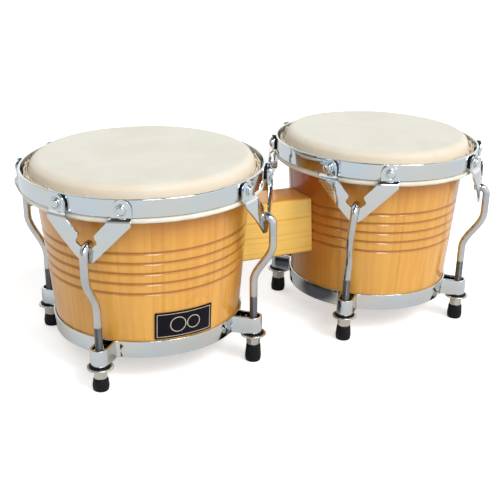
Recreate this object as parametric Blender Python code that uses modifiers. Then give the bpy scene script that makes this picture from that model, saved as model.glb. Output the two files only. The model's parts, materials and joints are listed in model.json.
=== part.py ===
"""A pair of bongo drums: two staved wooden shells joined by a centre block.

Each drum is built in its own frame, with Z up along the drum's axis and its origin on the floor.
An empty places that frame in the object and gives the large drum its lean. The rim band, the lug
brackets, the flesh hoop, the tuning rods and the foot caps move down together as the nuts are
tightened. Lengths are metres, angles degrees.
"""

import math

import bmesh
import bpy
from mathutils import Matrix, Vector

GAP = 0.0003
SEGMENTS = 36
LUG_ANGLES = (-135.0, -45.0, 45.0, 135.0)

# Heights that both drums share.
SHELL_BASE = 0.0268
BAND_BASE = 0.0258
BAND_HEIGHT = 0.0157
RIM_BASE = 0.1607
RIM_HEIGHT = 0.0154
SKIN_TOP = 0.1840
GROOVE_TOP = 0.1236
GROOVE_PITCH = 0.0094
GROOVE_COUNT = 5
GROOVE_DEPTH = 0.0010
GROOVE_HALF_WIDTH = 0.0013

# Sections.
SHELL_THICKNESS = 0.011
SKIN_THICKNESS = 0.0012
ROLL_RADIUS = 0.0080
BAND_THICKNESS = 0.0016
RIM_THICKNESS = 0.0020
HOOP_RADIUS = 0.0027
ROD_RADIUS = 0.0035
ROD_BORE = ROD_RADIUS + GAP

# Radii measured from the rim's outer radius.
HOOP_INSET = 0.0030
SKIN_EDGE_INSET = 0.0065
FOOT_INSET = 0.0055
HOOK_OFFSET = 0.0120
PLATE_OFFSET = 0.0045
SKIN_EDGE_HEIGHT = 0.1630
SKIN_SLOPE = 3.0

# Lug bracket: depths are measured down from the rivets, which sit at the middle of the rim.
PLATE_THICKNESS = 0.0020
RIVET_REACH = 0.0280
EAR_RADIUS = 0.0080
JOGGLE_START = 0.0045
JOGGLE_END = 0.0105
JOGGLE_STEPS = 3
SLOT_HALF_WIDTH = ROD_RADIUS + GAP
SLOT_FLOOR = 0.0352
RIVET_SHANK = 0.0025
RIVET_HEAD = 0.0050
RIVET_HEAD_HEIGHT = 0.0026
RIVET_TAIL = 0.0040
RIVET_TAIL_HEIGHT = 0.0012
RIVET_TAIL_GAP = 0.0008

# Tuning rod.
ROD_END = 0.0075
BEND_START = 0.0750
BEND_END = 0.1120
BEND_STEPS = 6
HOOK_RADIUS = 0.0070
HOOK_TOP = 0.1372
HOOK_TIP = 0.0125
HOOK_STEPS = 4

# Strap ears of the bottom band, and what hangs below them on each rod.
EAR_STRAP = 0.0020
EAR_HALF_WIDTH = 0.0068
WASHER_RADIUS = 0.0115
WASHER_HEIGHT = 0.0025
NUT_RADIUS = 0.0073
NUT_HEIGHT = 0.0086
CAP_TOP_RADIUS = 0.0062
CAP_RADIUS = 0.0071
CAP_FLAT_RADIUS = 0.0050
CAP_EDGE = 0.0025
CAP_BORE = 0.0044

# Centre block, its bolts, and the badge.
BLOCK_HALF_DEPTH = 0.0190
BLOCK_BASE = 0.0735
BLOCK_TOP = 0.1290
BLOCK_EDGE = 0.0030
BOLT_HEIGHTS = (0.0860, 0.1160)
BOLT_RADIUS = 0.0030
BOLT_HEAD_RADIUS = 0.0060
BOLT_HEAD_HEIGHT = 0.0050
BOLT_BITE = 0.0200
DRILL_LENGTH = 0.0600
SEAT_MARGIN = 0.0200
BACKING_SIZE = (0.0020, 0.0300, 0.0500)
BADGE_ANGLE = -89.9
BADGE_HALF_SPREAD = 17.9
BADGE_BASE = 0.0430
BADGE_TOP = 0.0680
BADGE_THICKNESS = 0.0010


class Drum:
    """One drum's own sizes, and the radii that follow from them."""

    def __init__(self, name, place, lean, rim_radius, band_radius, crown_radius, twist, block_side):
        self.name = name
        self.rim_radius = rim_radius
        self.band_radius = band_radius
        self.crown_radius = crown_radius
        self.twist = twist
        self.block_side = block_side
        self.skin_flat = crown_radius + GAP + SKIN_THICKNESS - ROLL_RADIUS
        self.foot_circle = rim_radius - FOOT_INSET
        self.hook_circle = rim_radius + HOOK_OFFSET
        self.frame = bpy.data.objects.new(name + "_axis", None)
        self.frame.location = (place, 0.0, 0.0)
        self.frame.rotation_euler = (0.0, math.radians(lean), 0.0)
        PARTS.objects.link(self.frame)

    def shell_radius(self, height):
        """The wooden shell's outer radius: a straight taper from the bottom band to the crown."""
        base_height = BAND_BASE + BAND_HEIGHT / 2
        crown_height = SKIN_TOP - ROLL_RADIUS
        base_radius = self.band_radius - BAND_THICKNESS - GAP
        share = (height - base_height) / (crown_height - base_height)
        return base_radius + share * (self.crown_radius - base_radius)

    def inner_radius(self, height):
        return self.shell_radius(height) - SHELL_THICKNESS

    def world(self, point):
        return self.frame.matrix_world @ Vector(point)


def clear_scene():
    for old in list(bpy.data.objects):
        bpy.data.objects.remove(old)


def new_collection(name):
    collection = bpy.data.collections.new(name)
    bpy.context.scene.collection.children.link(collection)
    return collection


def new_material(name, colour, metallic, roughness):
    material = bpy.data.materials.new(name)
    material.use_nodes = True
    shader = material.node_tree.nodes["Principled BSDF"]
    shader.inputs["Base Color"].default_value = (*colour, 1.0)
    shader.inputs["Metallic"].default_value = metallic
    shader.inputs["Roughness"].default_value = roughness
    return material


def new_object(name, mesh, parent=None, collection=None):
    made = bpy.data.objects.new(name, mesh)
    made.parent = parent
    (collection or PARTS).objects.link(made)
    return made


def finish(made, look):
    """Gives a part its own copy of a material, and shades its round faces smooth."""
    material = LOOKS[look].copy()
    material.name = made.name
    made.data.materials.clear()
    made.data.materials.append(material)
    if made.type == "MESH":
        made.data.shade_smooth()
        made.data.set_sharp_from_angle(angle=math.radians(35.0))
    return made


def mesh_from(build, name):
    mesh = bpy.data.meshes.new(name)
    shape = bmesh.new()
    build(shape)
    shape.to_mesh(mesh)
    shape.free()
    return mesh


def turned(name, profile, closed, parent=None, segments=SEGMENTS, collection=None):
    """Turns a profile of (radius, height) points about Z: down the outer side, up the inner one."""

    def outline(shape):
        points = [shape.verts.new((radius, 0.0, height)) for radius, height in profile]
        for first, second in zip(points, points[1:]):
            shape.edges.new((first, second))
        if closed:
            shape.edges.new((points[-1], points[0]))

    made = new_object(name, mesh_from(outline, name), parent, collection)
    screw = made.modifiers.new("Turn", "SCREW")
    screw.steps = segments
    screw.render_steps = segments
    screw.use_merge_vertices = True
    screw.merge_threshold = 0.0001
    return made


def arc(centre, radius, start, end, steps):
    """Points on an arc in the (radius, height) plane, from one angle to another."""
    points = []
    for step in range(steps + 1):
        angle = math.radians(start + (end - start) * step / steps)
        points.append((centre[0] + radius * math.cos(angle), centre[1] + radius * math.sin(angle)))
    return points


def cutter(name, mesh, parent=None):
    made = new_object(name, mesh, parent, CUTTERS)
    hide(made)
    return made


def hide(made):
    made.hide_render = True
    made.display_type = "WIRE"


def boolean(made, operand, operation):
    step = made.modifiers.new(operation.title(), "BOOLEAN")
    step.object = operand
    step.operation = operation
    step.solver = "EXACT"


def cylinder(radius, length, segments=12):
    """A mesh for a round bar along Z, centred on its origin."""

    def build(shape):
        bmesh.ops.create_cone(
            shape, cap_ends=True, segments=segments, radius1=radius, radius2=radius, depth=length
        )

    return mesh_from(build, "bar")


def evaluated_mesh(made):
    """Applies an object's modifiers: the finished mesh, with the object taken away."""
    graph = bpy.context.evaluated_depsgraph_get()
    mesh = bpy.data.meshes.new_from_object(made.evaluated_get(graph))
    bpy.data.objects.remove(made)
    return mesh


def polar(radius, degrees, height=0.0):
    angle = math.radians(degrees)
    return Vector((radius * math.cos(angle), radius * math.sin(angle), height))


def smooth(share):
    share = min(max(share, 0.0), 1.0)
    return share * share * (3.0 - 2.0 * share)


# ---- the wooden shell and what is fixed to it ----


def add_shell(drum):
    """The staved shell: a rounded crown, five turned grooves, and an open bottom."""
    crown = (drum.skin_flat, SKIN_TOP - ROLL_RADIUS)
    crown_wood = ROLL_RADIUS - SKIN_THICKNESS - GAP
    profile = arc(crown, crown_wood, 90.0, 0.0, 3)
    for index in range(GROOVE_COUNT):
        middle = GROOVE_TOP - index * GROOVE_PITCH
        profile.append((drum.shell_radius(middle + GROOVE_HALF_WIDTH), middle + GROOVE_HALF_WIDTH))
        profile.append((drum.shell_radius(middle) - GROOVE_DEPTH, middle))
        profile.append((drum.shell_radius(middle - GROOVE_HALF_WIDTH), middle - GROOVE_HALF_WIDTH))
    profile.append((drum.shell_radius(SHELL_BASE), SHELL_BASE))
    profile.append((drum.inner_radius(SHELL_BASE), SHELL_BASE))
    profile.append((drum.inner_radius(crown[1]), crown[1]))
    shell = turned(drum.name + "_shell", profile, True, drum.frame)
    for height in BOLT_HEIGHTS:
        hole = cutter("bolt_hole", cylinder(BOLT_RADIUS + GAP, DRILL_LENGTH), drum.frame)
        hole.location = (drum.block_side * drum.inner_radius(height), 0.0, height)
        hole.rotation_euler = (0.0, math.radians(90.0), 0.0)
        boolean(shell, hole, "DIFFERENCE")
    finish(shell, "shell")


def add_bottom_band(drum):
    """The bottom band follows the shell's taper. Its four strap ears are bent from the same strip."""
    base, top = BAND_BASE, BAND_BASE + BAND_HEIGHT

    def inner(height):
        return drum.shell_radius(height) + GAP

    profile = [
        (inner(top) + BAND_THICKNESS, top),
        (inner(base) + BAND_THICKNESS, base),
        (inner(base), base),
        (inner(top), top),
    ]
    band = turned(drum.name + "_bottom_band", profile, True, drum.frame)
    root = inner(top) + BAND_THICKNESS / 2

    def straps(shape):
        for degrees in LUG_ANGLES:
            turn = Matrix.Rotation(math.radians(degrees), 4, "Z")
            path = [(root, EAR_HALF_WIDTH)]
            path += [
                (drum.foot_circle + EAR_HALF_WIDTH * math.sin(a), EAR_HALF_WIDTH * math.cos(a))
                for a in [math.pi * step / 6 for step in range(7)]
            ]
            path.append((root, -EAR_HALF_WIDTH))
            rows = [
                [shape.verts.new(turn @ Vector((x, y, height))) for height in (base, top)] for x, y in path
            ]
            for first, second in zip(rows, rows[1:]):
                shape.faces.new((first[0], first[1], second[1], second[0]))

    ears = cutter(drum.name + "_ears", mesh_from(straps, "ears"), drum.frame)
    wall = ears.modifiers.new("Strap", "SOLIDIFY")
    wall.thickness = EAR_STRAP
    wall.offset = 0.0
    wall.use_even_offset = True
    boolean(band, ears, "UNION")
    finish(band, "chrome")


def add_block_fixing(drum):
    """A steel backing plate inside the shell, and two bolts through it into the centre block."""
    thickness, width, height = BACKING_SIZE
    middle = sum(BOLT_HEIGHTS) / len(BOLT_HEIGHTS)
    reach = drum.inner_radius(middle - height / 2)
    seat = math.sqrt(reach * reach - (width / 2) ** 2) - GAP

    def box(shape):
        bmesh.ops.create_cube(shape, size=1.0)
        bmesh.ops.scale(shape, vec=BACKING_SIZE, verts=shape.verts)

    plate = new_object(drum.name + "_backing_plate", mesh_from(box, "plate"), drum.frame)
    plate.location = (drum.block_side * (seat - thickness / 2), 0.0, middle)
    head = seat - thickness - GAP
    bite = drum.shell_radius(middle) + BOLT_BITE
    profile = [
        (0.0, head - BOLT_HEAD_HEIGHT),
        (BOLT_HEAD_RADIUS, head - BOLT_HEAD_HEIGHT),
        (BOLT_HEAD_RADIUS, head),
        (BOLT_RADIUS, head),
        (BOLT_RADIUS, bite - BOLT_RADIUS),
        (0.0, bite),
    ]
    bolt_mesh = evaluated_mesh(turned("bolt", profile[::-1], False, segments=12))
    for index, bolt_height in enumerate(BOLT_HEIGHTS, 1):
        hole = cutter("plate_hole", cylinder(BOLT_RADIUS + GAP, 4 * thickness), drum.frame)
        hole.location = (plate.location.x, 0.0, bolt_height)
        hole.rotation_euler = (0.0, math.radians(90.0), 0.0)
        boolean(plate, hole, "DIFFERENCE")
        bolt = new_object(f"{drum.name}_block_bolt_{index}", bolt_mesh, drum.frame)
        bolt.location = (0.0, 0.0, bolt_height)
        bolt.rotation_euler = (0.0, math.radians(90.0 * drum.block_side), 0.0)
        finish(bolt, "steel")
    finish(plate, "steel")


def add_head(drum):
    """The skin: flat over the shell, round over the bearing edge, then down inside the rim."""
    centre = (drum.skin_flat, SKIN_TOP - ROLL_RADIUS)
    edge = (drum.rim_radius - SKIN_EDGE_INSET, SKIN_EDGE_HEIGHT)
    across = edge[0] - centre[0] - ROLL_RADIUS
    tangent = math.degrees(math.atan2(across, centre[1] - edge[1])) + SKIN_SLOPE
    outer = arc(centre, ROLL_RADIUS, 90.0, tangent, 3) + [edge]
    inner = [(edge[0] - SKIN_THICKNESS, edge[1])]
    inner += arc(centre, ROLL_RADIUS - SKIN_THICKNESS, tangent, 90.0, 3)
    profile = [(0.0, SKIN_TOP)] + outer + inner + [(0.0, SKIN_TOP - SKIN_THICKNESS)]
    finish(turned(drum.name + "_head", profile, False, drum.frame), "skin")


# ---- the tension hardware, which moves with the rods ----


def add_flesh_hoop(drum):
    """The steel ring that the skin is lapped round. The rim bears down on it."""
    centre = (drum.rim_radius - HOOP_INSET, RIM_BASE - GAP - HOOP_RADIUS)
    profile = arc(centre, HOOP_RADIUS, 90.0, -210.0, 5)
    finish(turned(drum.name + "_flesh_hoop", profile, True, drum.frame), "lapped_skin")


def rivet_angle(drum):
    return math.degrees(math.asin(RIVET_REACH / (drum.rim_radius + PLATE_THICKNESS)))


def add_rim(drum):
    """The flat steel rim band, drilled for the eight bracket rivets."""
    inner = drum.rim_radius - RIM_THICKNESS
    top = RIM_BASE + RIM_HEIGHT
    profile = [(drum.rim_radius, top), (drum.rim_radius, RIM_BASE), (inner, RIM_BASE), (inner, top)]
    rim = turned(drum.name + "_rim", profile, True, drum.frame)
    for degrees in LUG_ANGLES:
        for side in (-1, 1):
            angle = degrees + drum.twist + side * rivet_angle(drum)
            hole = cutter("rivet_hole", cylinder(RIVET_SHANK + GAP, 5 * RIM_THICKNESS, 8), drum.frame)
            hole.location = polar(drum.rim_radius, angle, RIM_BASE + RIM_HEIGHT / 2)
            hole.rotation_euler = (0.0, math.radians(90.0), math.radians(angle))
            boolean(rim, hole, "DIFFERENCE")
    finish(rim, "chrome")


def bracket_outline():
    """Half of the bracket's flat outline, as (across, down) from the middle of the rivets."""
    ear = [
        (RIVET_REACH + EAR_RADIUS * math.cos(a), -EAR_RADIUS * math.sin(a))
        for a in [math.pi * step / 5 for step in range(6)]
    ]
    foot = [(0.0, 0.0460), (0.0032, 0.0460), (0.0058, 0.0442), (0.0360, 0.0129)]
    arm = [(0.0200, 0.0073), (0.0068, 0.0218), (0.0070, 0.0240), (0.0090, 0.0268), (0.0088, 0.0288)]
    slot_top = [(SLOT_HALF_WIDTH, 0.0328)]
    slot = [
        (SLOT_HALF_WIDTH * math.cos(a), SLOT_FLOOR - SLOT_HALF_WIDTH * (1.0 - math.sin(a)))
        for a in [math.pi / 2 * step / 3 for step in range(1, 4)]
    ]
    return foot + ear + arm + slot_top + slot[:-1] + [(0.0, SLOT_FLOOR)]


def bracket_surface(drum, across, down):
    """Where a point of the flat outline lies: on the rim at the ears, clear of it below the joggle."""
    on_rim = math.sqrt((drum.rim_radius + GAP) ** 2 - across * across)
    on_plate = math.sqrt((drum.rim_radius + PLATE_OFFSET) ** 2 - across * across)
    share = smooth((down - JOGGLE_START) / (JOGGLE_END - JOGGLE_START))
    return Vector((on_rim + share * (on_plate - on_rim), across, RIM_BASE + RIM_HEIGHT / 2 - down))


def bracket_mesh(drum):
    """A pressed V bracket: two riveted ears, a joggle over the flesh hoop, and a slotted foot."""

    def plate(shape):
        points = [shape.verts.new((0.0, across, -down)) for across, down in bracket_outline()]
        shape.faces.new(points)
        for step in range(JOGGLE_STEPS + 1):
            down = JOGGLE_START + (JOGGLE_END - JOGGLE_START) * step / JOGGLE_STEPS
            cut_flat(shape, (0.0, 0.0, -down), (0.0, 0.0, 1.0))
        cut_flat(shape, (0.0, RIVET_REACH, 0.0), (0.0, 1.0, 0.0))
        bmesh.ops.triangulate(shape, faces=shape.faces)
        for point in shape.verts:
            point.co = bracket_surface(drum, point.co.y, -point.co.z)

    bracket = new_object("bracket", mesh_from(plate, "bracket"))
    mirror = bracket.modifiers.new("Halves", "MIRROR")
    mirror.use_axis = (False, True, False)
    mirror.merge_threshold = 0.0001
    wall = bracket.modifiers.new("Plate", "SOLIDIFY")
    wall.thickness = PLATE_THICKNESS
    wall.offset = 1.0
    seat = drum.rim_radius + GAP + PLATE_THICKNESS
    tail = drum.rim_radius - RIM_THICKNESS - RIVET_TAIL_GAP
    profile = [
        (0.0, seat + RIVET_HEAD_HEIGHT),
        (RIVET_HEAD * 0.6, seat + RIVET_HEAD_HEIGHT * 0.8),
        (RIVET_HEAD, seat + RIVET_HEAD_HEIGHT * 0.2),
        (RIVET_HEAD, seat - PLATE_THICKNESS / 2),
        (RIVET_SHANK, seat - PLATE_THICKNESS / 2),
        (RIVET_SHANK, tail),
        (RIVET_TAIL, tail),
        (0.0, tail - RIVET_TAIL_HEIGHT),
    ]
    for side in (-1, 1):
        rivet = turned("rivet", profile, False, segments=8, collection=CUTTERS)
        hide(rivet)
        rivet.location = (0.0, 0.0, RIM_BASE + RIM_HEIGHT / 2)
        rivet.rotation_euler = (0.0, math.radians(90.0), math.radians(side * rivet_angle(drum)))
        boolean(bracket, rivet, "UNION")
    bpy.context.view_layer.update()
    return evaluated_mesh(bracket)


def cut_flat(shape, point, normal):
    everything = list(shape.verts) + list(shape.edges) + list(shape.faces)
    bmesh.ops.bisect_plane(shape, geom=everything, plane_co=point, plane_no=normal, dist=1e-6)


def add_brackets(drum):
    mesh = bracket_mesh(drum)
    for index, degrees in enumerate(LUG_ANGLES, 1):
        bracket = new_object(f"{drum.name}_lug_bracket_{index}", mesh, drum.frame)
        bracket.rotation_euler = (0.0, 0.0, math.radians(degrees + drum.twist))
        finish(bracket, "chrome")


def rod_path(drum, degrees):
    """The rod's centre line: straight through the ear, an S bend outwards, then a hook over the bracket."""
    path = [polar(drum.foot_circle, degrees, ROD_END)]
    for step in range(BEND_STEPS + 1):
        share = step / BEND_STEPS
        out = drum.foot_circle + smooth(share) * (drum.hook_circle - drum.foot_circle)
        height = BEND_START + share * (BEND_END - BEND_START)
        path.append(polar(out, degrees + smooth(share) * drum.twist, height))
    centre = (drum.hook_circle - HOOK_RADIUS, HOOK_TOP - HOOK_RADIUS)
    for out, height in arc(centre, HOOK_RADIUS, 0.0, 90.0, HOOK_STEPS):
        path.append(polar(out, degrees + drum.twist, height))
    path.append(polar(drum.hook_circle - HOOK_TIP, degrees + drum.twist, HOOK_TOP))
    return path


def add_rods(drum):
    for index, degrees in enumerate(LUG_ANGLES, 1):
        name = f"{drum.name}_tuning_rod_{index}"
        curve = bpy.data.curves.new(name, "CURVE")
        curve.dimensions = "3D"
        curve.bevel_depth = ROD_RADIUS
        curve.bevel_resolution = 2
        curve.use_fill_caps = True
        path = rod_path(drum, degrees)
        spline = curve.splines.new("POLY")
        spline.points.add(len(path) - 1)
        for point, place in zip(spline.points, path):
            point.co = (*place, 1.0)
        finish(new_object(name, curve, drum.frame), "chrome")


def ring_mesh(name, outer, inner, height, segments):
    profile = [(outer, height), (outer, 0.0), (inner, 0.0), (inner, height)]
    return evaluated_mesh(turned(name, profile, True, segments=segments))


def nut_mesh():
    """A hexagon nut, with its bore on the origin's Z axis."""

    def hexagon(shape):
        bmesh.ops.create_cone(
            shape, cap_ends=True, segments=6, radius1=NUT_RADIUS, radius2=NUT_RADIUS, depth=NUT_HEIGHT
        )
        bmesh.ops.translate(shape, vec=(0.0, 0.0, NUT_HEIGHT / 2), verts=shape.verts)

    nut = new_object("nut", mesh_from(hexagon, "nut"))
    bore = cutter("nut_bore", cylinder(ROD_BORE, 4 * NUT_HEIGHT))
    boolean(nut, bore, "DIFFERENCE")
    return evaluated_mesh(nut)


def add_washers_and_nuts(drum, washer_shape, nut_shape):
    washer_base = BAND_BASE - GAP - WASHER_HEIGHT
    nut_base = washer_base - GAP - NUT_HEIGHT
    for index, degrees in enumerate(LUG_ANGLES, 1):
        washer = new_object(f"{drum.name}_washer_{index}", washer_shape, drum.frame)
        washer.location = polar(drum.foot_circle, degrees, washer_base)
        finish(washer, "chrome")
        nut = new_object(f"{drum.name}_nut_{index}", nut_shape, drum.frame)
        nut.location = polar(drum.foot_circle, degrees, nut_base)
        nut.rotation_euler = (0.0, 0.0, math.radians(degrees))
        finish(nut, "steel")


def add_foot_caps(drum):
    """Rubber caps pushed on the rod ends, upright on the floor: a leaning drum's differ in height."""
    nut_base = BAND_BASE - 2 * GAP - WASHER_HEIGHT - NUT_HEIGHT
    for index, degrees in enumerate(LUG_ANGLES, 1):
        end = drum.world(polar(drum.foot_circle, degrees, ROD_END))
        corners = [
            drum.world(polar(drum.foot_circle, degrees, nut_base) + polar(NUT_RADIUS, step * 60.0))
            for step in range(6)
        ]
        top = min(corner.z for corner in corners) - GAP
        floor = end.z - 2 * GAP
        profile = [
            (CAP_TOP_RADIUS, top),
            (CAP_RADIUS, CAP_EDGE),
            (CAP_RADIUS - CAP_EDGE * 0.3, CAP_EDGE * 0.3),
            (CAP_FLAT_RADIUS, 0.0),
            (0.0, 0.0),
        ]
        bore = [(0.0, floor), (CAP_BORE, floor), (CAP_BORE, top)]
        cap = turned(f"{drum.name}_foot_cap_{index}", bore + profile, False, segments=12)
        middle = drum.world(polar(drum.foot_circle, degrees, (ROD_END + nut_base) / 2))
        cap.location = (middle.x, middle.y, 0.0)
        finish(cap, "rubber")


# ---- what joins and dresses the pair ----


def add_centre_block(drums):
    """The pine block between the shells, hollowed at each end to sit against them."""
    ends = [drum.world((0.0, 0.0, BLOCK_BASE)).x for drum in drums]
    size = (ends[1] - ends[0], 2 * BLOCK_HALF_DEPTH, BLOCK_TOP - BLOCK_BASE)

    def box(shape):
        bmesh.ops.create_cube(shape, size=1.0)
        bmesh.ops.scale(shape, vec=size, verts=shape.verts)
        long_edges = [e for e in shape.edges if abs((e.verts[0].co - e.verts[1].co).x) > size[0] / 2]
        bmesh.ops.bevel(shape, geom=long_edges, offset=BLOCK_EDGE, segments=2, profile=0.5, affect="EDGES")

    block = new_object("centre_block", mesh_from(box, "centre_block"))
    block.location = (sum(ends) / 2, 0.0, (BLOCK_BASE + BLOCK_TOP) / 2)
    for drum in drums:
        low, high = BLOCK_BASE - SEAT_MARGIN, BLOCK_TOP + SEAT_MARGIN
        profile = [
            (0.0, high),
            (drum.shell_radius(high) + GAP, high),
            (drum.shell_radius(low) + GAP, low),
            (0.0, low),
        ]
        hollow = turned(drum.name + "_seat", profile, False, drum.frame, collection=CUTTERS)
        hide(hollow)
        boolean(block, hollow, "DIFFERENCE")
        for height in BOLT_HEIGHTS:
            hole = cutter("block_hole", cylinder(BOLT_RADIUS + GAP, DRILL_LENGTH), drum.frame)
            reach = drum.shell_radius(sum(BOLT_HEIGHTS) / 2) + BOLT_BITE + GAP
            hole.location = (drum.block_side * (reach - DRILL_LENGTH / 2), 0.0, height)
            hole.rotation_euler = (0.0, math.radians(90.0), 0.0)
            boolean(block, hole, "DIFFERENCE")
    finish(block, "pine")


def add_badge(drum):
    """A thin blank plate, curved to the shell just above the bottom band."""
    columns = 8

    def sheet(shape):
        rows = []
        for step in range(columns + 1):
            degrees = BADGE_ANGLE + BADGE_HALF_SPREAD * (2 * step / columns - 1)
            rows.append(
                [
                    shape.verts.new(polar(drum.shell_radius(height) + GAP, degrees, height))
                    for height in (BADGE_BASE, BADGE_TOP)
                ]
            )
        for first, second in zip(rows, rows[1:]):
            shape.faces.new((first[0], second[0], second[1], first[1]))

    badge = new_object("badge_plate", mesh_from(sheet, "badge_plate"), drum.frame)
    wall = badge.modifiers.new("Plate", "SOLIDIFY")
    wall.thickness = BADGE_THICKNESS
    wall.offset = 1.0
    finish(badge, "badge")


clear_scene()
PARTS = new_collection("bongo_drums")
CUTTERS = new_collection("cutters")
CUTTERS.hide_render = True
LOOKS = {
    "shell": new_material("shell", (0.80, 0.42, 0.12), 0.0, 0.25),
    "skin": new_material("skin", (0.88, 0.84, 0.74), 0.0, 0.6),
    "lapped_skin": new_material("lapped_skin", (0.88, 0.83, 0.72), 0.0, 0.55),
    "chrome": new_material("chrome", (0.78, 0.79, 0.80), 1.0, 0.15),
    "steel": new_material("steel", (0.62, 0.58, 0.53), 1.0, 0.35),
    "rubber": new_material("rubber", (0.01, 0.01, 0.012), 0.0, 0.6),
    "pine": new_material("pine", (0.86, 0.66, 0.32), 0.0, 0.35),
    "badge": new_material("badge", (0.012, 0.012, 0.015), 0.0, 0.3),
}
LARGE = Drum("large", -0.1116, -2.0, 0.1080, 0.0855, 0.0963, 0.0, 1)
SMALL = Drum("small", 0.1267, 0.0, 0.0990, 0.0788, 0.0872, 3.0, -1)
bpy.context.view_layer.update()
WASHER = ring_mesh("washer", WASHER_RADIUS, ROD_BORE, WASHER_HEIGHT, 14)
NUT = nut_mesh()
for each in (LARGE, SMALL):
    add_shell(each)
    add_head(each)
    add_flesh_hoop(each)
    add_rim(each)
    add_brackets(each)
    add_rods(each)
    add_bottom_band(each)
    add_washers_and_nuts(each, WASHER, NUT)
    add_foot_caps(each)
    add_block_fixing(each)
add_centre_block((LARGE, SMALL))
add_badge(LARGE)
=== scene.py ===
"""Looks for the bongo drums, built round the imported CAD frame.

Each drum's pieces are made in the drum's own frame, where Z is its axis and the floor is at 0, at the
sizes that its CAD nodes measure there. Lengths are metres, and angles radians unless it says degrees.
"""

import json
import math

import bmesh
import bpy
from mathutils import Matrix, Vector, noise


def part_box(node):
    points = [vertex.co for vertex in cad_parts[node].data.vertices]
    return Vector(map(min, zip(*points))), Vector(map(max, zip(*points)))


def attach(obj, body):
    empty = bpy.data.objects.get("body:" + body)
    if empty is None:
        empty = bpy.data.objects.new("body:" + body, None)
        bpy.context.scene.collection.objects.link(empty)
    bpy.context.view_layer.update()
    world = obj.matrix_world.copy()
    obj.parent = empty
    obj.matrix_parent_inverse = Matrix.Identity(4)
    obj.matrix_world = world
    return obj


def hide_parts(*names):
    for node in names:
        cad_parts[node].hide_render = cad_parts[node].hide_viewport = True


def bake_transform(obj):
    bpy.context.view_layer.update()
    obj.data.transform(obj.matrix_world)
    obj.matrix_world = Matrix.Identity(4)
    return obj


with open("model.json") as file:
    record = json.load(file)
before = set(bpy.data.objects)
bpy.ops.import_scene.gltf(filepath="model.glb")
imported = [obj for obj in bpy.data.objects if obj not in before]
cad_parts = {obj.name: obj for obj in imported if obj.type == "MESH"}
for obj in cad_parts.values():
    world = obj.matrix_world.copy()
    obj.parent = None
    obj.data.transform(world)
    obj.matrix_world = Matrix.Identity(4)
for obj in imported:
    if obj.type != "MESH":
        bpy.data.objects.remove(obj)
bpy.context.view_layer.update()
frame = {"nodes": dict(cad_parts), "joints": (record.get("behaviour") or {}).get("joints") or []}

# Steps round a turned shape, the angle past which an edge stays sharp, how near points are merged or counted
# as level, and the gap between neighbouring CAD solids.
ROUND = 144
SHARP_DEGREES = 40.0
TINY = 1e-6
NEAR = 0.0001
GAP = 0.0003
LUGS = (1, 2, 3, 4)
WHITE = (1.0, 1.0, 1.0)

# Staves, with the bearing in degrees of a drum's side with painted shade from the other drum, and turned
# grooves.
STAVES = 20
STAVE_WIDTH = 0.028
SHADED_SIDE_BEARING = {"small": 180.0}
GROOVE_TOP = 0.1236
GROOVE_PITCH = 0.0094
GROOVE_COUNT = 5
GROOVE_DEPTH = 0.0010
GROOVE_HALF_WIDTH = 0.0021
GROOVE_ROWS = 32

# The rim, and the layers of trimmed skin inside it: lean, drop below the rim's top, and place in the noise.
RIM_THICKNESS = 0.0020
FRAYED_LAYERS = ((0.0030, 0.0016, 0.0), (0.0048, 0.0022, 9.0), (0.0066, 0.0032, 4.0))

# Lug brackets, with depths measured down from the rivets, and the spacers that lift their ears off the rim.
RIVET_REACH = 0.0280
RIVET_HEIGHT = 0.0026
RIVET_SHANK = 0.0025
EAR_RADIUS = 0.0080
EAR_LIFT = 0.0018
SPACER_RADIUS = 0.0073
SPACER_BORE = 0.0026
PLATE_THICKNESS = 0.0020
JOGGLE = (0.0068, 0.0105)
JOGGLE_STEPS = 12
SLOT_HALF_WIDTH = 0.0038
SLOT_FLOOR = 0.0352
BRACKET_DEPTH = 0.0460
BRACKET_OFFSET = 0.0045

# Tuning rods.
ROD_RADIUS = 0.0035
ROD_SIDES = 20
ROD_BEND = (0.0750, 0.1120)
BEND_STEPS = 24
HOOK_RADIUS = 0.0070
HOOK_TIP = 0.0125
THREAD_TOP = 0.0610
THREAD_PITCH = 0.0010
THREAD_DEPTH = 0.0003

# The bottom band with its strap ears, and the washers, nuts and caps on each rod.
BAND_THICKNESS = 0.0016
EAR_STRAP = 0.0020
EAR_HALF_WIDTH = 0.0068
EAR_FILLET = 0.0045
BORE = 0.0038
FIBRE_HEIGHT = 0.0007
FIBRE_INSET = 0.0020
NUT_CHAMFER = 0.0009
CAP_BORE = 0.0044
CAP_BORE_DEPTH = 0.0064
CAP_SHOULDER = 0.0045
CAP_SIDES = 12

# The block, and its bolts' heads as (across flats, chamfer, height).
BLOCK_EDGE = 0.0026
BLOCK_OVERLAP = 0.0040
BOLT_HEAD = (0.0104, 0.0008, 0.0046)
NO_BORE = 0.00001

# The badge. Its border runs between two distances from its edge, and its rings are (across, radius).
BADGE_THICKNESS = 0.0008
LINE_THICKNESS = 0.00012
LINE_LIFT = 0.0011
BADGE_BORDER = (0.0016, 0.0021)
BADGE_RINGS = {"large_ring": (-0.0062, 0.0072), "small_ring": (0.0080, 0.0062)}
RING_WIDTH = 0.0007

# The camera's place in metres, its yaw, pitch and roll in degrees, and its lens in millimetres.
CAMERA_PLACE = (-0.4307, -0.8130, 0.4196)
CAMERA_TURN = (-27.43, 20.52, 2.015)
CAMERA_LENS = 73.44

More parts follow.
